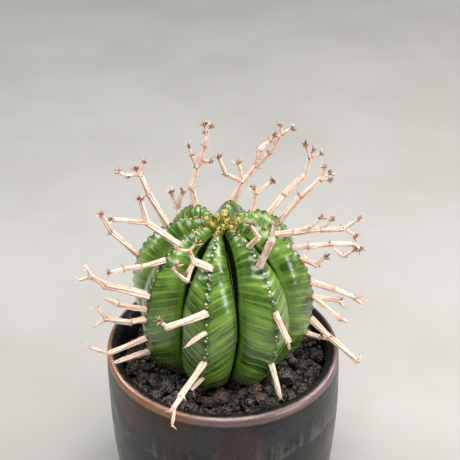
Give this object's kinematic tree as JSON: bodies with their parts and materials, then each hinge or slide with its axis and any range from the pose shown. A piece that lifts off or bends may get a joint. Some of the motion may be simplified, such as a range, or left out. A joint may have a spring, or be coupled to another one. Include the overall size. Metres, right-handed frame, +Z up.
{
  "type": "potted euphorbia",
  "caption": "Ribbed globular succulent with dry branching flower stalks, rooted in coarse lava soil in a round glazed pot with a drain hole and net.",
  "frame": {"origin": "on the pot's axis, level with the bottom of its foot ring", "axes": "+Z up along the pot's axis; -Y is the front and +X is to the right as seen from the front"},
  "size_m": [0.1143, 0.1169, 0.1819],
  "materials": {
    "glaze": "satin metallic glaze",
    "net_plastic": "matte",
    "lava_soil": "rough, slightly damp",
    "green_skin": "smooth waxy skin",
    "dry_stalk": "dry, matte",
    "fresh_bud": "waxy"
  },
  "bodies": {
    "root": {"pot": "glaze", "drain_net": "net_plastic", "soil": "lava_soil", "plant_body": "green_skin", "stalk_front_1": "dry_stalk", "stalk_front_2": "dry_stalk", "stalk_front_3": "dry_stalk", "stalk_front_4": "dry_stalk", "stalk_front_5": "dry_stalk", "stalk_front_right_1": "dry_stalk", "stalk_front_right_2": "dry_stalk", "stalk_front_right_3": "dry_stalk", "stalk_front_right_4": "dry_stalk", "stalk_right_1": "dry_stalk", "stalk_right_2": "dry_stalk", "stalk_right_3": "dry_stalk", "stalk_right_4": "dry_stalk", "stalk_right_5": "dry_stalk", "stalk_right_6": "dry_stalk", "stalk_right_7": "dry_stalk", "stalk_back_right_1": "dry_stalk", "stalk_back_right_2": "dry_stalk", "stalk_back_right_3": "dry_stalk", "stalk_back_right_4": "dry_stalk", "stalk_back_1": "dry_stalk", "stalk_back_2": "dry_stalk", "stalk_back_left_1": "dry_stalk", "stalk_back_left_2": "dry_stalk", "stalk_back_left_3": "dry_stalk", "stalk_left_1": "dry_stalk", "stalk_left_2": "dry_stalk", "stalk_front_left_1": "dry_stalk", "stalk_front_left_2": "dry_stalk", "stalk_front_left_3": "dry_stalk", "stalk_front_left_4": "dry_stalk", "stalk_front_left_5": "dry_stalk", "stalk_front_left_6": "dry_stalk", "stalk_front_left_7": "dry_stalk", "crown_bud_1": "fresh_bud", "crown_bud_2": "fresh_bud", "crown_bud_3": "fresh_bud", "crown_bud_4": "fresh_bud", "crown_bud_5": "fresh_bud", "crown_bud_6": "fresh_bud", "crown_bud_7": "fresh_bud", "crown_bud_8": "fresh_bud", "crown_bud_9": "fresh_bud", "crown_bud_10": "fresh_bud"}
  },
  "joints": []
}
